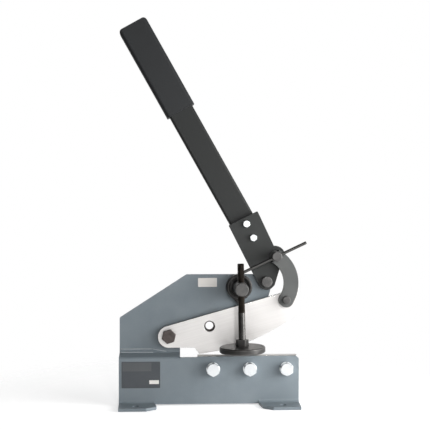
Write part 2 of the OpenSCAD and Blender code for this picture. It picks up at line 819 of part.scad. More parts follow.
module hold_down_post() color("dimgray") difference() {
  chamfer = post_d / 18;
  union() {
    translate([hold.x, tall_front, hold.y]) rotate([90, 0, 0]) rotate_extrude() polygon([
      [0, 0], [post_d / 2, 0], [post_d / 2, post_reach - chamfer],
      [post_d / 2 - chamfer, post_reach], [0, post_reach]
    ]);
    round_y(hold, bolt_d, tall_front, pivot_end);
  }
  along_screw(hold.y - post_d) cylinder(d = screw_d + 2 * turn_gap, h = 2 * post_d);
}

module hold_down_washer() color("dimgray") pivot_washer(hold);

module hold_down_nut() color("dimgray") pivot_nut(hold, 20);

module hold_down_screw() color("dimgray") along_screw(screw_seat + head_gap) {
  chamfer = screw_d / 12;
  rotate_extrude() polygon([
    [0, 0], [screw_d / 2 - chamfer, 0], [screw_d / 2, chamfer],
    [screw_d / 2, screw_len - chamfer], [screw_d / 2 - chamfer, screw_len], [0, screw_len]
  ]);
}

module lock_nut() color("dimgray") difference() {
  across = lock_nut_af / cos(30);
  seat = disc_z + disc_t + head_gap;
  along_screw(seat) rotate(-lock_nut_turn) cylinder(d = across, h = lock_nut_h, $fn = 6);
  along_screw(seat - overrun) cylinder(d = screw_d + 2 * fixed_gap, h = lock_nut_h + 2 * overrun);
}

module pressure_disc() color("dimgray") difference() {
  chamfer = disc_t / 6;
  along_screw(disc_z) rotate_extrude() polygon([
    [0, 0], [disc_d / 2 - chamfer, 0], [disc_d / 2, chamfer],
    [disc_d / 2, disc_t - chamfer], [disc_d / 2 - chamfer, disc_t], [0, disc_t]
  ]);
  along_screw(screw_seat) cylinder(d = screw_d + 2 * turn_gap, h = disc_t);
}

front_plate();
rear_plate();
jaw_spacer();
lower_blade();
blade_bolts();
blade_bolt_washers();
bar_die();
blade_pivot_bolt();
blade_pivot_washer();
blade_pivot_nut();
lever_pivot_pin();
lever_pivot_washer();
lever_pivot_nut();
hold_down_flange();
hold_down_collar();
hold_down_post();
hold_down_washer();
hold_down_nut();
upper_blade();
link_pin_rear();
link_pin_clip();
lever_plate();
lever_tube();
grip();
handle_bolts();
handle_washers();
handle_nuts();
link();
link_pin_front();
lock_screw();
tommy_bar();
hold_down_screw();
lock_nut();
pressure_disc();
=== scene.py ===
import json
import math

import bmesh
import bpy
import numpy as np
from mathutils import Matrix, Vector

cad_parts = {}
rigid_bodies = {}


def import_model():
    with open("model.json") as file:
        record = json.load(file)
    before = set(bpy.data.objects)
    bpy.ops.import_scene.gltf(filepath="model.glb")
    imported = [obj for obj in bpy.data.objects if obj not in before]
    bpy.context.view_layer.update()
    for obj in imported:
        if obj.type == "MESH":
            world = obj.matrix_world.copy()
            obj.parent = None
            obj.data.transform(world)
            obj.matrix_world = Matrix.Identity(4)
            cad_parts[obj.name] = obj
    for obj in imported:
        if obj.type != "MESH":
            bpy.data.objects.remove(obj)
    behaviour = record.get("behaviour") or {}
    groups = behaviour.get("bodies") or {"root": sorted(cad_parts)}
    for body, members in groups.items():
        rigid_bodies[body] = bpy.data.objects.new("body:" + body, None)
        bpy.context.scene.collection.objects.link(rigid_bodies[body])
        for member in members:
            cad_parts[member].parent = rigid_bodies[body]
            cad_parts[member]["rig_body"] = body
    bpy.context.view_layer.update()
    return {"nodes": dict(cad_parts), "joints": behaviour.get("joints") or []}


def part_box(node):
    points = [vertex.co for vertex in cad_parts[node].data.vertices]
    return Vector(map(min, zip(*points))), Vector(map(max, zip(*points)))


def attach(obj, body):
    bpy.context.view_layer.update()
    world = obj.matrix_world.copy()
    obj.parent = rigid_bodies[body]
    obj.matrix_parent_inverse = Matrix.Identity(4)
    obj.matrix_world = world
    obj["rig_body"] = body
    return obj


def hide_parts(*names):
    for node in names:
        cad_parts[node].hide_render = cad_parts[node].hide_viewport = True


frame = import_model()


# Front plate
# One 6 mm steel plate: the panel, a shelf bent back to the tall plate and two feet bent forward.
# It is cut, press-braked and sprayed with a hammered blue-grey enamel, and its rounded edges are painted
# lighter as a painted highlight.

def place(obj, body, nodes=()):
    bpy.context.scene.collection.objects.link(obj)
    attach(obj, body)
    if nodes:
        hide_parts(*nodes)
    return obj


def eased(node, width, materials, steps=2, walls=None):
    """The node's own triangles, merged, their flat faces joined, and each sharp edge rounded to a width.

    The first material covers the faces and the last the rounded edges. Where walls names a material, it
    covers the faces that look neither to the front nor to the back. The large flat faces keep their own
    direction in the smooth shading, so only the rounded edges turn.
    """
    same_point, flat_angle, sharp_angle, facing = 2e-6, math.radians(0.4), math.radians(32), 0.7
    source = frame["nodes"][node]
    mesh = bpy.data.meshes.new(node + "_eased")
    bm = bmesh.new()
    bm.from_mesh(source.data)
    bmesh.ops.remove_doubles(bm, verts=bm.verts, dist=same_point)
    bmesh.ops.dissolve_limit(bm, angle_limit=flat_angle, verts=bm.verts, edges=bm.edges)
    if walls:
        materials = [materials[0], walls, *materials[1:]]
        for face in bm.faces:
            face.material_index = int(abs(face.normal.y) < facing)
    bm.to_mesh(mesh)
    bm.free()
    for material in materials:
        mesh.materials.append(material)
    mesh.shade_smooth()
    obj = bpy.data.objects.new(node + "_eased", mesh)
    ease = obj.modifiers.new("ease", "BEVEL")
    ease.width = width
    ease.segments = steps
    ease.limit_method = "ANGLE"
    ease.angle_limit = sharp_angle
    ease.use_clamp_overlap = True
    ease.material = len(materials) - 1
    shading = obj.modifiers.new("face_weight", "WEIGHTED_NORMAL")
    shading.mode = "FACE_AREA"
    shading.weight = 90
    shading.keep_sharp = False
    return place(obj, source["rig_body"], [node])


def add(tree, kind, inputs=None, **settings):
    """Adds a shader node, sets its properties, and links or sets each named input."""
    node = tree.nodes.new(kind)
    for key, value in settings.items():
        setattr(node, key, value)
    for key, value in (inputs or {}).items():
        if isinstance(value, bpy.types.NodeSocket):
            tree.links.new(value, node.inputs[key])
        else:
            node.inputs[key].default_value = value
    return node


def math_node(tree, operation, first, second):
    """One Math node with its two inputs, either of which may be a socket."""
    return add(tree, "ShaderNodeMath", {0: first, 1: second}, operation=operation).outputs[0]


def blend(tree, first, second, share):
    """The first value times its share, plus the second times what is left of one."""
    part = math_node(tree, "MULTIPLY", first, share)
    return math_node(tree, "ADD", part, math_node(tree, "MULTIPLY", second, 1 - share))


def noise(tree, point, scale, detail, distortion=0.0):
    """Noise between 0 and 1, with as many finer layers as the detail says."""
    inputs = {"Vector": point, "Scale": scale, "Detail": detail, "Distortion": distortion}
    return add(tree, "ShaderNodeTexNoise", inputs).outputs[0]


def bumped(tree, height, depth):
    """The direction of a surface whose height times a depth in metres stands on it."""
    return add(tree, "ShaderNodeBump", {"Strength": 1.0, "Distance": depth, "Height": height}).outputs[0]


def ramp(tree, factor, dark, light):
    """Turns a value from 0.3 to 0.7 into a colour from dark to light."""
    node = add(tree, "ShaderNodeValToRGB", {"Fac": factor})
    first, last = node.color_ramp.elements
    first.position, last.position = 0.3, 0.7
    first.color, last.color = (*dark, 1), (*light, 1)
    return node.outputs[0]


def spread(tree, factor, low, high, start=0.3, end=0.7):
    """Turns a value from start to end into a number from low to high."""
    return add(tree, "ShaderNodeMapRange", {0: factor, 1: start, 2: end, 3: low, 4: high}).outputs[0]


def effect(name, numbers):
    """An empty group that takes a place and some numbers, and is to give a shade, a gloss and a normal."""
    group = bpy.data.node_groups.new(name, "ShaderNodeTree")
    group.interface.new_socket("Place", in_out="INPUT", socket_type="NodeSocketVector")
    for label, value in numbers.items():
        group.interface.new_socket(label, in_out="INPUT", socket_type="NodeSocketFloat").default_value = value
    for label, kind in (("Shade", "Float"), ("Gloss", "Float"), ("Normal", "Vector")):
        group.interface.new_socket(label, in_out="OUTPUT", socket_type="NodeSocket" + kind)
    return group, add(group, "NodeGroupInput").outputs


def sprayed_coat():
    """Orange peel of a sprayed coat: fine noise sets the bump, and slow noise the shade and the gloss."""
    fine_scale, fine_height = 3.3, 0.25
    group, given = effect("sprayed_coat", {"Peel": 500.0, "Depth": 0.00002, "Cloud": 18.0})
    peel = noise(group, given["Place"], scale=given["Peel"], detail=2.0, distortion=0.6)
    finer = math_node(group, "MULTIPLY", given["Peel"], fine_scale)
    fine = noise(group, given["Place"], scale=finer, detail=1.0)
    cloud = noise(group, given["Place"], scale=given["Cloud"], detail=4.0)
    height = math_node(group, "ADD", peel, math_node(group, "MULTIPLY", fine, fine_height))
    add(group, "NodeGroupOutput", {
        "Shade": blend(group, cloud, peel, share=0.7),
        "Gloss": blend(group, cloud, fine, share=0.5),
        "Normal": bumped(group, height, given["Depth"]),
    })
    return group


def dressed(name, pattern, numbers, dark, light, rough, metal=0.0, lean=0.0):
    """A material that wears a pattern group, turned by an angle in degrees in the XZ plane.

    The group's shade runs between two colours, its gloss between two roughnesses, and its normal is the bump.
    """
    material = bpy.data.materials.new(name)
    material.use_nodes = True
    tree = material.node_tree
    tree.nodes.clear()
    point = add(tree, "ShaderNodeTexCoord").outputs["Object"]
    if lean:
        rotation = (0, math.radians(lean), 0)
        point = add(tree, "ShaderNodeMapping", {"Vector": point, "Rotation": rotation}).outputs[0]
    layer = add(tree, "ShaderNodeGroup", {"Place": point, **numbers}, node_tree=pattern).outputs
    shader = add(tree, "ShaderNodeBsdfPrincipled", {
        "Base Color": ramp(tree, layer["Shade"], dark, light),
        "Roughness": spread(tree, layer["Gloss"], *rough),
        "Normal": layer["Normal"],
        "Metallic": metal,
    })
    add(tree, "ShaderNodeOutputMaterial", {"Surface": shader.outputs[0]})
    return material


coat = sprayed_coat()


def coated(name, dark, light, rough, peel, depth, cloud=18.0):
    """A sprayed paint: its peel has a fineness and a depth, and its shade wanders as slow clouds."""
    return dressed(name, coat, {"Peel": peel, "Depth": depth, "Cloud": cloud}, dark, light, rough)


frame_enamel = coated("frame_enamel", dark=(0.185, 0.222, 0.248), light=(0.238, 0.278, 0.305),
                      rough=(0.34, 0.48), peel=620.0, depth=0.00004)
# The rounded edges get a lighter copy of the enamel: a painted highlight along them.
frame_highlight_edge = coated("frame_highlight_edge", dark=(0.20, 0.235, 0.265), light=(0.29, 0.325, 0.355),
                    rough=(0.24, 0.40), peel=420.0, depth=0.00002)
eased("front_plate", 0.0007, [frame_enamel, frame_highlight_edge])


# Rear plate and spacer
# The tall plate is sawn from 6 mm steel with a sloping shoulder and carries every pivot. Its two feet bend
# back, and a flat bar keeps it both blades' thickness from the front panel. Both wear the same enamel.

# The tall plate's rounded edges are painted near black: a painted shade line along its outline.
rear_plate_shaded_edge = coated("rear_plate_shaded_edge", dark=(0.036, 0.043, 0.050), light=(0.060, 0.070, 0.080),
                   rough=(0.40, 0.54), peel=420.0, depth=0.00002)
eased("rear_plate", 0.0014, [frame_enamel, rear_plate_shaded_edge])
eased("jaw_spacer", 0.0008, [frame_enamel, frame_highlight_edge])


# Welds
# A hollow fillet closes the joint of shelf and tall plate from above, and short rippled runs of weld hold
# the shelf from below and the spacer to both plates. They were laid before the enamel, which covers them.

def strip_mesh(name, rows):
    """A grid of points (rows, columns, 3) made a closed mesh: rows close round, and both ends are capped."""
    count, across = rows.shape[:2]
    grid = np.arange(count * across).reshape(count, across)
    side = np.roll(grid, -1, axis=1)
    faces = np.stack([grid[:-1], side[:-1], side[1:], grid[1:]], axis=-1).reshape(-1, 4).tolist()
    faces += [grid[0, ::-1].tolist(), grid[-1].tolist()]
    mesh = bpy.data.meshes.new(name)
    mesh.from_pydata(rows.reshape(-1, 3).tolist(), [], faces)
    bm = bmesh.new()
    bm.from_mesh(mesh)
    bmesh.ops.recalc_face_normals(bm, faces=bm.faces)
    bm.to_mesh(mesh)
    bm.free()
    return mesh


def circle(first, second, steps):
    """Directions all round, which start at one unit vector and turn towards a second."""
    turn = np.linspace(0, 2 * np.pi, steps, endpoint=False)
    return np.cos(turn)[:, None] * first + np.sin(turn)[:, None] * second


def carried(centres, radii, ring):
    """A ring of directions carried along points, with one radius for each point or each direction there."""
    return centres[:, None] + radii.reshape(len(centres), -1, 1) * ring


def weld(name, start, end, radius, enamel=frame_enamel):
    """A round bead along a line.

    Its radius swells and shrinks as scallops laid one on another, wanders a little, and falls at both ends as
    the root of the distance from them.
    """
    step, pitch, tip, least, steps_round = 0.0009, 0.0032, 0.004, 0.02, 16
    scallop, wander, wander_rate = 0.12, 0.05, 900
    start, end = np.array(start), np.array(end)
    length = np.linalg.norm(end - start)
    along = np.linspace(0, 1, int(length / step))
    ripple = 1 + scallop * np.abs(np.sin(np.pi * along * length / pitch))
    ripple = ripple + wander * np.sin(along * length * wander_rate)
    taper = np.sqrt(np.clip(np.minimum(along, 1 - along) * length / tip, least, 1))
    up = np.array((0.0, 0.0, 1.0))
    ring = circle(up, np.cross((end - start) / length, up), steps_round)
    rows = carried(start + along[:, None] * (end - start), radius * ripple * taper, ring)
    obj = bpy.data.objects.new(name, strip_mesh(name, rows))
    obj.data.shade_smooth()
    obj.data.materials.append(enamel)
    place(obj, "frame")


def cove(name, left, right, tall_y, shelf_z, slope, rise, reach, taper):
    """A hollow fillet: at each place along X a quarter arc runs from the shelf up to the tall plate.

    Its rise and reach shrink to a tenth within the taper's length of the right end, and ripple along the run.
    """
    step, columns, sunk_y, sunk_z = 0.0008, 9, 0.0002, 0.0012
    least, falling, ripple, quick_rate, slow_rate = 0.1, 0.8, 0.03, 2100, 790
    along = np.linspace(left, right, int((right - left) / step))
    size = np.clip((right - along) / taper, 0, 1) ** falling * (1 - least) + least
    size = size * (1 + ripple * np.sin(along * quick_rate) + ripple * np.sin(along * slow_rate))
    turn = np.linspace(0, np.pi / 2, columns)
    out = reach * size[:, None] * (1 - np.sin(turn))[None]
    up = rise * size[:, None] * (1 - np.cos(turn))[None]
    x = np.repeat(along[:, None], columns, axis=1)
    arc = np.stack([x, tall_y - out, shelf_z - slope * out + up], axis=-1)
    heel_y, heel_z = np.full_like(along, tall_y + sunk_y), np.full_like(along, shelf_z - sunk_z)
    heel = np.stack([along, heel_y, heel_z], axis=-1)[:, None]
    obj = bpy.data.objects.new(name, strip_mesh(name, np.concatenate([arc, heel], axis=1)))
    obj.data.materials.append(frame_enamel)
    obj.data.shade_smooth()
    obj.data.set_sharp_from_angle(angle=math.radians(50))
    place(obj, "frame")


# The fillet's toes are thin beads in a much lighter enamel: painted highlights along the fillet's edges.
toe_highlight_enamel = coated("toe_highlight_enamel", dark=(0.36, 0.40, 0.43), light=(0.46, 0.50, 0.53),
                    rough=(0.24, 0.36), peel=420.0, depth=0.00002)

# The frame gives single-precision numbers, which are rounded to six places, or whole micrometres.
micrometres = 6
tall_front = round(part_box("rear_plate")[0].y, micrometres)
panel_front = round(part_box("blade_bolt_washers")[1].y, micrometres)
shelf_top = round(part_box("front_plate")[1].z, micrometres)
shelf_left = round(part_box("front_plate")[0].x + 0.0005, micrometres)
shelf_rise, sunk = 0.006, 0.0002
upper_toe_y, upper_toe_z = tall_front - 0.0008, shelf_top + 0.0070
lower_toe_y, lower_toe_z = tall_front - 0.0056, shelf_top + 0.0010
toe_bend_x, toe_end_x, lower_toe_end_x = -0.114, -0.084, -0.112
for number, (near, far, radius) in enumerate([
    ((shelf_left, upper_toe_y, upper_toe_z), (toe_bend_x, upper_toe_y, upper_toe_z), 0.0012),
    ((toe_bend_x, upper_toe_y, upper_toe_z), (toe_end_x, upper_toe_y, shelf_top + 0.0012), 0.0010),
    ((shelf_left, lower_toe_y, lower_toe_z), (lower_toe_end_x, lower_toe_y, lower_toe_z), 0.0010),
]):
    weld(f"cove_toe_{number}", near, far, radius, toe_highlight_enamel)
cove("shelf_cove", left=shelf_left, right=-0.062, tall_y=tall_front - sunk, shelf_z=shelf_top,
     slope=shelf_rise / (tall_front - panel_front), rise=0.0062, reach=0.0075, taper=0.036)

y, z, radius = tall_front - 0.0004, shelf_top - 0.0068, 0.0022
for number, (left, right) in enumerate([(-0.172, -0.146), (-0.126, -0.100), (-0.082, -0.062)]):
    weld(f"shelf_weld_{number}", (left, y, z), (right, y, z), radius)

low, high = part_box("jaw_spacer")
above, radius = 0.00095, 0.002
spacer_corners = [("spacer_weld", high.y - sunk, high.z + above),
                  ("spacer_weld_low", low.y + sunk, low.z + above)]
for number, (left, right) in enumerate([(-0.130, -0.095), (-0.018, 0.018), (0.095, 0.130)]):
    for name, y, z in spacer_corners:
        weld(f"{name}_{number}", (left, y, z), (right, y, z), radius)


# Name plate and sticker
# A thin dark plate with a lighter field and a small pale tab lies on the front panel, and a pale sticker
# on the tall plate. All are cut with round corners and stuck on.

def stuck_plate(name, centre, width, height, corner, profile, material):
    """Rings of a rounded rectangle, each inset and raised as the profile says, with the last one filled."""
    steps, least_corner = 48, 0.0002
    turn = np.linspace(0, 2 * np.pi, steps, endpoint=False) + np.pi / steps
    sign_x, sign_z = np.sign(np.cos(turn)), np.sign(np.sin(turn))
    rows = []
    for inset, rise in profile:
        radius = max(corner - inset, least_corner)
        x = centre[0] + sign_x * (width / 2 - inset - radius) + radius * np.cos(turn)
        z = centre[2] + sign_z * (height / 2 - inset - radius) + radius * np.sin(turn)
        rows.append(np.stack([x, np.full_like(x, centre[1] - rise), z], axis=-1))
    obj = bpy.data.objects.new(name, strip_mesh(name, np.array(rows)))
    obj.data.materials.append(material)
    place(obj, "frame")


plate_dark = coated("plate_ink", dark=(0.058, 0.066, 0.075), light=(0.082, 0.090, 0.100),
                    rough=(0.30, 0.44), peel=900.0, depth=0.000006)
field_dark = coated("field_ink", dark=(0.085, 0.092, 0.098), light=(0.115, 0.122, 0.128),
                    rough=(0.30, 0.44), peel=900.0, depth=0.000006)
pale_vinyl = coated("sticker_vinyl", dark=(0.92, 0.885, 0.84), light=(0.97, 0.94, 0.90),
                    rough=(0.30, 0.42), peel=900.0, depth=0.000006)
on_plate_y = panel_front - 0.00042
sheet_profile = [(0, 0), (0, 0.0004), (0.0002, 0.0005), (0.0012, 0.0005), (0.0014, 0.00042)]
film_profile = [(0, 0), (0, 0.00006), (0.0001, 0.00009)]
vinyl_profile = [(0, 0), (0, 0.00014), (0.0001, 0.0002)]
stuck_plate("name_plate", (-0.1360, panel_front, 0.0615), width=0.0765, height=0.0525, corner=0.0015,
            profile=sheet_profile, material=plate_dark)
stuck_plate("name_plate_field", (-0.1440, on_plate_y, 0.0775), width=0.0575, height=0.0175, corner=0.0008,
            profile=film_profile, material=field_dark)
stuck_plate("name_plate_tab", (-0.1098, on_plate_y, 0.0471), width=0.0190, height=0.0075, corner=0.0005,
            profile=film_profile, material=pale_vinyl)
stuck_plate("sticker", (-0.0023, tall_front, 0.2429), width=0.0385, height=0.0182, corner=0.0012,
            profile=vinyl_profile, material=pale_vinyl)


# Lower blade
# A bar of tool steel, surface ground on every face with fine lines along its length, then bolted behind
# the panel so that its edge stands just above the panel's top.

def ground_face():
    """Lines left by grinding: noise stretched along one axis gives the bump, the shade and the gloss."""
    group, given = effect("ground_face", {"Along": 6.0, "Across": 2200.0, "Depth": 0.000003})
    stretch = add(group, "ShaderNodeCombineXYZ", {0: given["Along"], 1: given["Across"], 2: given["Across"]})
    sides = {0: given["Place"], 1: stretch.outputs[0]}
    lines = add(group, "ShaderNodeVectorMath", sides, operation="MULTIPLY").outputs[0]
    scratch = noise(group, lines, scale=1.0, detail=3.0)
    broad = noise(group, given["Place"], scale=14.0, detail=3.0)
    add(group, "NodeGroupOutput", {
        "Shade": blend(group, scratch, broad, share=0.6),
        "Gloss": blend(group, scratch, broad, share=0.5),
        "Normal": bumped(group, scratch, given["Depth"]),
    })
    return group


ground = ground_face()


def ground_steel(name, dark, light, rough, lean=0.0, along=6.0, across=2200.0):
    """Bare ground steel, whose grinding lines lean from the X axis by an angle."""
    return dressed(name, ground, {"Along": along, "Across": across}, dark, light, rough, metal=1.0, lean=lean)


lower_steel = ground_steel("lower_steel", dark=(0.60, 0.585, 0.565), light=(0.76, 0.745, 0.725),
                           rough=(0.26, 0.40))
# The blade's rounded edges are a lighter copy of the steel: a painted highlight along them.
lower_edge_highlight = ground_steel("lower_edge_highlight", dark=(0.74, 0.73, 0.71), light=(0.86, 0.85, 0.83),
                          rough=(0.18, 0.30))
eased("lower_blade", 0.0003, [lower_steel, lower_edge_highlight])


# Blade bolts and their spring washers
# Three M16 hex bolts clamp the lower blade to the panel, each over a split spring washer. Both are bright
# zinc plated, with the soft mottle that plating leaves.

def plated(name, dark, light, rough):
    """Bright plating: a fine mottle in shade and gloss over a mirror-like metal."""
    mottle = {"Peel": 420.0, "Depth": 0.000006, "Cloud": 90.0}
    return dressed(name, coat, mottle, dark, light, rough, metal=1.0)


zinc = plated("zinc_plate", dark=(0.84, 0.87, 0.89), light=(0.93, 0.95, 0.96), rough=(0.24, 0.40))
# The rounded edges and chamfers are a darker zinc: a painted dark reflection on them.
zinc_shaded_edge = plated("zinc_shaded_edge", dark=(0.62, 0.64, 0.66), light=(0.78, 0.80, 0.82), rough=(0.12, 0.24))


def spring_washer(name, centre, inner, outer, thick, start):
    """A square section carried round 345 degrees while its front climbs, so its two ends stand apart."""
    steps, inset = 70, 0.0003
    turn = np.radians(start) + np.linspace(0, np.radians(345), steps)
    front = np.linspace(0.804, 0.996, steps)
    section = np.array([(inner, 0), (inner, 1), (inner + inset, 1), (outer - inset, 1), (outer, 1),
                        (outer, 0), (outer - inset, 0), (inner + inset, 0)])
    x = centre[0] + np.cos(turn)[:, None] * section[None, :, 0]
    y = centre[1] - thick * section[None, :, 1] * front[:, None]
    z = centre[2] + np.sin(turn)[:, None] * section[None, :, 0]
    washer = bpy.data.objects.new(name, strip_mesh(name, np.stack([x, y, z], axis=-1)))
    washer.data.materials.append(zinc)
    place(washer, "frame", ["blade_bolt_washers"])


eased("blade_bolts", 0.0012, [zinc, zinc_shaded_edge], steps=3)

low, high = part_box("blade_bolt_washers")
washer_count, washer_inner, washer_outer = 3, 0.0083, (high.z - low.z) / 2
washer_z = (low.z + high.z) / 2
washer_pitch = (high.x - low.x - 2 * washer_outer) / (washer_count - 1)
for number in range(washer_count):
    washer_x = low.x + washer_outer + number * washer_pitch
    spring_washer(f"spring_washer_{number}", (washer_x, high.y, washer_z), washer_inner,
                  washer_outer - 0.0001, high.y - low.y, start=40 + 65 * number)


# Bar die
# A hardened, blackened ring pressed into the tall plate behind the blade's hole. Round bar goes through it
# and is cut against its face.

def blackened_face():
    """Black oxide: slow noise carries a brown cast, and fine noise the matt grain and the bump."""
    group, given = effect("blackened_face", {"Grain": 900.0, "Depth": 0.00001})
    grain = noise(group, given["Place"], scale=given["Grain"], detail=3.0)
    slow = noise(group, given["Place"], scale=70.0, detail=4.0, distortion=0.8)
    add(group, "NodeGroupOutput", {
        "Shade": slow,
        "Gloss": blend(group, grain, slow, share=0.5),
        "Normal": bumped(group, grain, given["Depth"]),
    })
    return group


blackened = blackened_face()


def black_oxide(name, dark, light, rough, metal):
    """Blackened steel: a dark metal whose cast wanders between two colours."""
    return dressed(name, blackened, {"Grain": 900.0}, dark, light, rough, metal)


brown_oxide = black_oxide("brown_oxide", dark=(0.066, 0.052, 0.048), light=(0.104, 0.086, 0.080),
                          rough=(0.32, 0.48), metal=0.35)
eased("bar_die", 0.0005, [brown_oxide, brown_oxide])


# Blade pivot and lever pivot
# An M16 bolt carries the blade and a round-headed pin the lever. Each passes through the tall plate and is
# held by a washer and a nut, past which its threaded end stands out.

def across_axis(direction):
    """Two unit vectors at right angles to a direction, the first as near to X as can be."""
    side = np.array((1.0, 0.0, 0.0)) - direction[0] * direction
    side /= np.linalg.norm(side)
    return side, np.cross(direction, side)


def thread(name, foot, direction, radius, start, end, material, body, nodes=()):
    """A ridge wound round a core.

    The radius follows the distance along the axis less the turned share of a pitch. Each ridge has sloping
    flanks, a flat crest and a flat root, and fades out within its own depth of both ends.
    """
    pitch, depth, flank, root = 0.002, 0.0011, 1.3, 0.15
    steps_for_pitch, steps_round = 6, 32
    direction = np.array(direction, float)
    travel = np.linspace(start, end, int((end - start) / pitch * steps_for_pitch) + 1)
    turn = np.linspace(0, 1, steps_round, endpoint=False)
    phase = np.mod(travel[:, None] / pitch - turn[None, :], 1.0)
    ridge = np.clip(np.abs(2 * phase - 1) * flank - root, 0, 1)
    limit = radius - depth + np.clip(np.minimum(travel - start, end - travel), 0, depth)
    radii = np.minimum(radius - depth * (1 - ridge), limit[:, None])
    ring = circle(*across_axis(direction), steps_round)
    rows = carried(np.array(foot) + travel[:, None] * direction, radii, ring)
    obj = bpy.data.objects.new(name, strip_mesh(name, rows))
    obj.data.materials.append(material)
    obj.data.set_sharp_from_angle(angle=math.radians(60))
    place(obj, body, nodes)


oxide = black_oxide("black_oxide", dark=(0.085, 0.084, 0.083), light=(0.140, 0.136, 0.132),
                    rough=(0.30, 0.46), metal=0.45)
# The rounded edges are a lighter copy of the oxide: a painted highlight along them.
oxide_edge_highlight = black_oxide("oxide_edge_highlight", dark=(0.13, 0.128, 0.125), light=(0.22, 0.215, 0.21),
                         rough=(0.24, 0.38), metal=0.45)
thread_radius = 0.008
nut_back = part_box("blade_pivot_nut")[1].y
bolt_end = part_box("blade_pivot_bolt")[1].y


def threaded_end(obj, washer_node, name):
    """Draws the end of a shank in towards its axis past its nut, and winds a thread round it."""
    reach, drawn_in, hidden = 0.0095, 0.80, 0.004
    low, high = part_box(washer_node)
    axis = np.array(((low.x + high.x) / 2, 0, (low.z + high.z) / 2))
    points = np.empty(len(obj.data.vertices) * 3, np.float32)
    obj.data.vertices.foreach_get("co", points)
    points = points.reshape(-1, 3)
    near = np.hypot(points[:, 0] - axis[0], points[:, 2] - axis[2]) < reach
    far = (points[:, 1] > nut_back) & near
    points[far, 0] = axis[0] + (points[far, 0] - axis[0]) * drawn_in
    points[far, 2] = axis[2] + (points[far, 2] - axis[2]) * drawn_in
    obj.data.vertices.foreach_set("co", points.ravel())
    thread(name, axis, (0, 1, 0), thread_radius, nut_back - hidden, bolt_end, oxide, "frame")


for node, label, face in (
    ("blade_pivot_bolt", "blade_pivot", brown_oxide),
    ("lever_pivot_pin", "lever_pivot", oxide),
):
    bolt = eased(node, 0.0005, [face, oxide_edge_highlight])
    eased(label + "_washer", 0.0004, [oxide, oxide_edge_highlight])
    eased(label + "_nut", 0.0005, [oxide, oxide_edge_highlight])
    threaded_end(bolt, label + "_washer", label + "_thread")


# Hold-down bracket
# A ring is welded to a teardrop flange on the tall plate, and a turned bar stands forward through it. A
# nut behind the plate draws the bar tight. All of it is blackened.

dark_oxide = black_oxide("dark_oxide", dark=(0.026, 0.025, 0.024), light=(0.050, 0.048, 0.046),
                         rough=(0.34, 0.50), metal=0.35)
# The rounded edges are a lighter copy of the dark oxide: a painted highlight along them.
dark_edge_highlight = black_oxide("dark_edge_highlight", dark=(0.075, 0.073, 0.070), light=(0.15, 0.145, 0.14),
                        rough=(0.28, 0.42), metal=0.35)
eased("hold_down_flange", 0.0005, [dark_oxide, dark_edge_highlight])
eased("hold_down_collar", 0.0027, [dark_oxide, dark_oxide], steps=4)
post = eased("hold_down_post", 0.0005, [oxide, oxide_edge_highlight])
eased("hold_down_washer", 0.0004, [oxide, oxide_edge_highlight])
eased("hold_down_nut", 0.0005, [oxide, oxide_edge_highlight])
threaded_end(post, "hold_down_washer", "hold_down_thread")


# Upper blade
# Cut from tool steel with a round tail and a bowed edge, and surface ground along its top edge. Its faces
# are bare and show the soft grinding lines, and its walls are painted near black as a painted shade line
# along its edges.

top_edge_lean = 15.4
upper_steel = ground_steel("upper_steel", dark=(0.78, 0.756, 0.737), light=(0.92, 0.90, 0.882),
                           rough=(0.36, 0.50), lean=top_edge_lean)
# The rounded edges are a lighter copy of the steel: a painted highlight along them.
upper_edge_highlight = ground_steel("upper_edge_highlight", dark=(0.84, 0.82, 0.81), light=(0.96, 0.95, 0.94),
                          rough=(0.20, 0.32), lean=top_edge_lean)
# The walls take the dark oxide: a painted shade line along the blade's edges.
eased("upper_blade", 0.0004, [upper_steel, upper_edge_highlight], walls=dark_oxide)


# Lower link pin behind the blade
# The lower pin is turned from steel and blackened, and its rear half stays with the blade. Its end has a
# groove, in which a sprung zinc plated clip keeps it from sliding out.

eased("link_pin_rear", 0.0003, [oxide, oxide_edge_highlight])
eased("link_pin_clip", 0.0002, [zinc, zinc_shaded_edge])


# Lever plate and tube
# The plate is cut from steel as thick as the blade, with an ear for the link, and the rectangular tube is
# bolted behind it. Both wear a satin dark grey powder coat with a fine grain. The tube's coat is painted
# darker, a painted shade.

lever_coat = coated("lever_coat", dark=(0.019, 0.021, 0.020), light=(0.027, 0.029, 0.028),
                    rough=(0.52, 0.66), peel=1100.0, depth=0.00003, cloud=26.0)
# The rounded edges are a lighter copy of the coat: a painted highlight along them.
lever_highlight_edge = coated("lever_highlight_edge", dark=(0.020, 0.022, 0.021), light=(0.038, 0.040, 0.039),
                    rough=(0.40, 0.54), peel=700.0, depth=0.00002, cloud=60.0)
# A darker copy of the lever coat: painted shade on the tube.
tube_shaded_coat = coated("tube_shaded_coat", dark=(0.011, 0.0125, 0.012), light=(0.017, 0.0185, 0.018),
                   rough=(0.52, 0.66), peel=1100.0, depth=0.00003, cloud=26.0)
eased("lever_plate", 0.0008, [lever_coat, lever_highlight_edge])
eased("lever_tube", 0.0005, [tube_shaded_coat, lever_highlight_edge])


# Grip
# A moulded rubber sleeve with a closed end is pushed over the tube, and holds there by its own stretch.
# It is matt, with a fine grain.

rubber = coated("grip_rubber", dark=(0.015, 0.0165, 0.018), light=(0.022, 0.024, 0.026),
                rough=(0.54, 0.68), peel=1500.0, depth=0.00004, cloud=30.0)
# The rounded edges are a lighter copy of the rubber: a painted highlight along them.
rubber_highlight_edge = coated("grip_highlight_edge", dark=(0.015, 0.017, 0.018), light=(0.026, 0.028, 0.030),
                     rough=(0.46, 0.58), peel=1500.0, depth=0.00003, cloud=30.0)
eased("grip", 0.0012, [rubber, rubber_highlight_edge], steps=3)


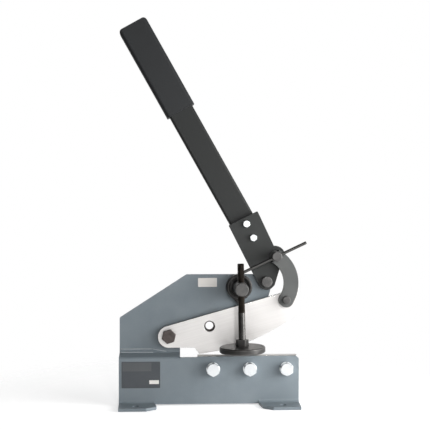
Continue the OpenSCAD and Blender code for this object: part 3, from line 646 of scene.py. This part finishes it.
# Handle bolts
# Two M8 bolts go through plate and tube, each with a washer and a nut behind. All are zinc plated, as the
# blade bolts are.

eased("handle_bolts", 0.0004, [zinc, zinc_shaded_edge])
eased("handle_washers", 0.0002, [zinc, zinc_shaded_edge])
eased("handle_nuts", 0.0004, [zinc, zinc_shaded_edge])


# Link and its pins
# The C-shaped link is cut from 12 mm plate and hangs from the lever plate's ear. Its lower pin turns in
# the blade, and its upper end is held by the lock screw.

link_coat = coated("link_coat", dark=(0.084, 0.088, 0.086), light=(0.112, 0.116, 0.113),
                   rough=(0.44, 0.58), peel=1000.0, depth=0.00003, cloud=26.0)
link_edge = coated("link_edge", dark=(0.070, 0.073, 0.071), light=(0.115, 0.118, 0.116),
                   rough=(0.36, 0.50), peel=700.0, depth=0.00002, cloud=60.0)
eased("link", 0.0008, [link_coat, link_edge])
eased("link_pin_front", 0.0005, [oxide, oxide_edge_highlight])


# Lock screw and tommy bar
# The lock screw's round head is turned, blackened and cross-drilled for a sliding bar. The bar is drawn
# steel left dark, with fine lines along it.

eased("lock_screw", 0.0005, [oxide, oxide_edge_highlight])
bar_lean = 25.2
bar_steel = ground_steel("bar_steel", dark=(0.070, 0.069, 0.067), light=(0.12, 0.118, 0.114),
                         rough=(0.34, 0.48), lean=bar_lean, along=20.0, across=1800.0)
eased("tommy_bar", 0.0003, [bar_steel, bar_steel])


# Hold-down screw, lock nut and pressure disc
# A blackened M14 screw runs down through the bar's cross hole, with a plain shank below its thread. A nut
# locks it to a turned disc, which presses the sheet down beside the cut.

def turned(name, foot, direction, profile, material, body, nodes=()):
    """A lathe profile of distances along the axis and radii, carried round the axis in 48 steps."""
    direction = np.array(direction, float)
    along, radii = np.array(profile).T
    ring = circle(*across_axis(direction), 48)
    rows = carried(np.array(foot) + along[:, None] * direction, radii, ring)
    obj = bpy.data.objects.new(name, strip_mesh(name, rows))
    obj.data.materials.append(material)
    obj.data.shade_smooth()
    obj.data.set_sharp_from_angle(angle=math.radians(40))
    place(obj, body, nodes)


shank_oxide = black_oxide("shank_oxide", dark=(0.050, 0.048, 0.046), light=(0.090, 0.087, 0.083),
                          rough=(0.20, 0.30), metal=0.7)
screw_oxide = black_oxide("screw_oxide", dark=(0.020, 0.016, 0.013), light=(0.050, 0.040, 0.032),
                          rough=(0.36, 0.52), metal=0.7)
turning = next(joint for joint in frame["joints"] if joint["name"] == "hold_down_screw_turn")
screw_lean = np.array(turning["axis"])
screw_foot = np.array(turning["pos_m"])
screw_foot = screw_foot - screw_foot[2] / screw_lean[2] * screw_lean
screw_radius, shank_length, thread_start = 0.007, 0.0725, 0.001
low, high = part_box("hold_down_screw")
tilt = screw_radius * abs(screw_lean[0])
screw_low, screw_high = (low.z + tilt) / screw_lean[2], (high.z - tilt) / screw_lean[2]
shank_top = screw_low + shank_length
shank_profile = [(screw_low, 0.0064), (screw_low + 0.0006, screw_radius),
                 (shank_top - 0.0008, screw_radius), (shank_top, 0.0062)]
turned("hold_down_shank", screw_foot, screw_lean, shank_profile, shank_oxide, "hold_down_screw",
       ["hold_down_screw"])
thread("hold_down_screw_thread", screw_foot, screw_lean, screw_radius, shank_top - thread_start, screw_high,
       screw_oxide, "hold_down_screw", ["hold_down_screw"])
eased("lock_nut", 0.0006, [dark_oxide, dark_edge_highlight])
eased("pressure_disc", 0.0006, [dark_oxide, dark_edge_highlight])


# Studio
# A white floor before a white wall, and a room that is darker overhead and at the left. Three soft lamps
# stand at the right, the strongest of them beside the object, and a small key lamp beside the camera.

floor_radius, floor_steps, floor_drop, floor_white, floor_glow = 3, 96, 0.0005, 0.93, 0.60
turn = np.linspace(0, 2 * np.pi, floor_steps, endpoint=False)
floor_x, floor_y = floor_radius * np.cos(turn), floor_radius * np.sin(turn)
floor_rim = np.stack([floor_x, floor_y, np.full_like(turn, -floor_drop)], axis=-1)
floor_mesh = bpy.data.meshes.new("floor")
floor_mesh.from_pydata(floor_rim.tolist(), [], [list(range(floor_steps))])
floor = bpy.data.objects.new("floor", floor_mesh)
bpy.context.scene.collection.objects.link(floor)

# The floor's own white shows only to the camera and to mirrors, and fades out away from the object.
floor_paint = bpy.data.materials.new("floor_paint")
floor_paint.use_nodes = True
tree = floor_paint.node_tree
tree.nodes.clear()
matt = add(tree, "ShaderNodeBsdfDiffuse", {"Color": (floor_white, floor_white, floor_white, 1)}).outputs[0]
ray = add(tree, "ShaderNodeLightPath").outputs
seen = math_node(tree, "MAXIMUM", ray["Is Camera Ray"], ray["Is Glossy Ray"])
seen = math_node(tree, "MAXIMUM", seen, ray["Is Transmission Ray"])
glow = math_node(tree, "MULTIPLY", seen, floor_glow)
lift = add(tree, "ShaderNodeEmission", {"Color": (1, 1, 1, 1), "Strength": glow}).outputs[0]
bright = add(tree, "ShaderNodeAddShader", {0: matt, 1: lift}).outputs[0]
clear = add(tree, "ShaderNodeBsdfTransparent").outputs[0]
point = add(tree, "ShaderNodeTexCoord").outputs["Object"]
distance = add(tree, "ShaderNodeVectorMath", {0: point}, operation="LENGTH").outputs["Value"]
fade = spread(tree, distance, 0.0, 1.0, start=0.28, end=0.62)
faded = add(tree, "ShaderNodeMixShader", {0: fade, 1: bright, 2: clear}).outputs[0]
add(tree, "ShaderNodeOutputMaterial", {"Surface": faded})
floor_mesh.materials.append(floor_paint)

# The world is white to the camera and behind the object, and elsewhere as bright as the room.
world = bpy.data.worlds.new("room")
bpy.context.scene.world = world
world.use_nodes = True
tree = world.node_tree
tree.nodes.clear()
point = add(tree, "ShaderNodeTexCoord").outputs["Generated"]
towards = add(tree, "ShaderNodeSeparateXYZ", {0: point}).outputs
height = spread(tree, towards[2], 0.62, 0.04, start=0.0, end=0.42)
room = math_node(tree, "MULTIPLY", height, spread(tree, towards[0], 0.12, 1.0, start=-0.75, end=0.05))
wall = spread(tree, towards[1], 0.0, 1.0, start=0.25, end=0.75)
around = spread(tree, wall, room, 1.0, start=0.0, end=1.0)
seen = add(tree, "ShaderNodeLightPath").outputs["Is Camera Ray"]
strength = math_node(tree, "MAXIMUM", seen, around)
air = add(tree, "ShaderNodeBackground", {"Color": (1, 1, 1, 1), "Strength": strength}).outputs[0]
add(tree, "ShaderNodeOutputWorld", {"Surface": air})


def lamp(name, seat, aim, size, power):
    """A soft rectangular lamp that faces a point."""
    data = bpy.data.lights.new(name, "AREA")
    data.shape = "RECTANGLE"
    data.size, data.size_y = size
    data.energy = power
    obj = bpy.data.objects.new(name, data)
    bpy.context.scene.collection.objects.link(obj)
    away = np.array(seat) - np.array(aim)
    obj.location = seat
    tip_up = math.acos(away[2] / np.linalg.norm(away))
    obj.rotation_euler = (tip_up, 0, math.atan2(away[1], away[0]) + math.pi / 2)


blades, hold_down = (0.05, 0, 0.2), (0.06, -0.05, 0.2)
lamp("near_lamp", (0.82, -0.62, 0.34), blades, size=(0.5, 0.9), power=7.0)
lamp("right_lamp", (0.75, -1.15, 0.40), blades, size=(0.5, 0.8), power=0.6)
lamp("side_lamp", (1.3, -0.42, 0.36), blades, size=(0.4, 0.9), power=15)
lamp("key_lamp", (0.245, -2.167, 0.82), hold_down, size=(0.18, 0.25), power=8)

camera = bpy.data.cameras.new("camera")
camera.sensor_width = 36
camera.lens = 70.33
seat = bpy.data.objects.new("camera", camera)
seat.location = (-0.0679, -1.6951, 0.3799)
seat.rotation_euler = (math.radians(90), 0, math.radians(-2.714))
bpy.context.scene.collection.objects.link(seat)
bpy.context.scene.camera = seat
bpy.context.scene.view_settings.view_transform = "Standard"
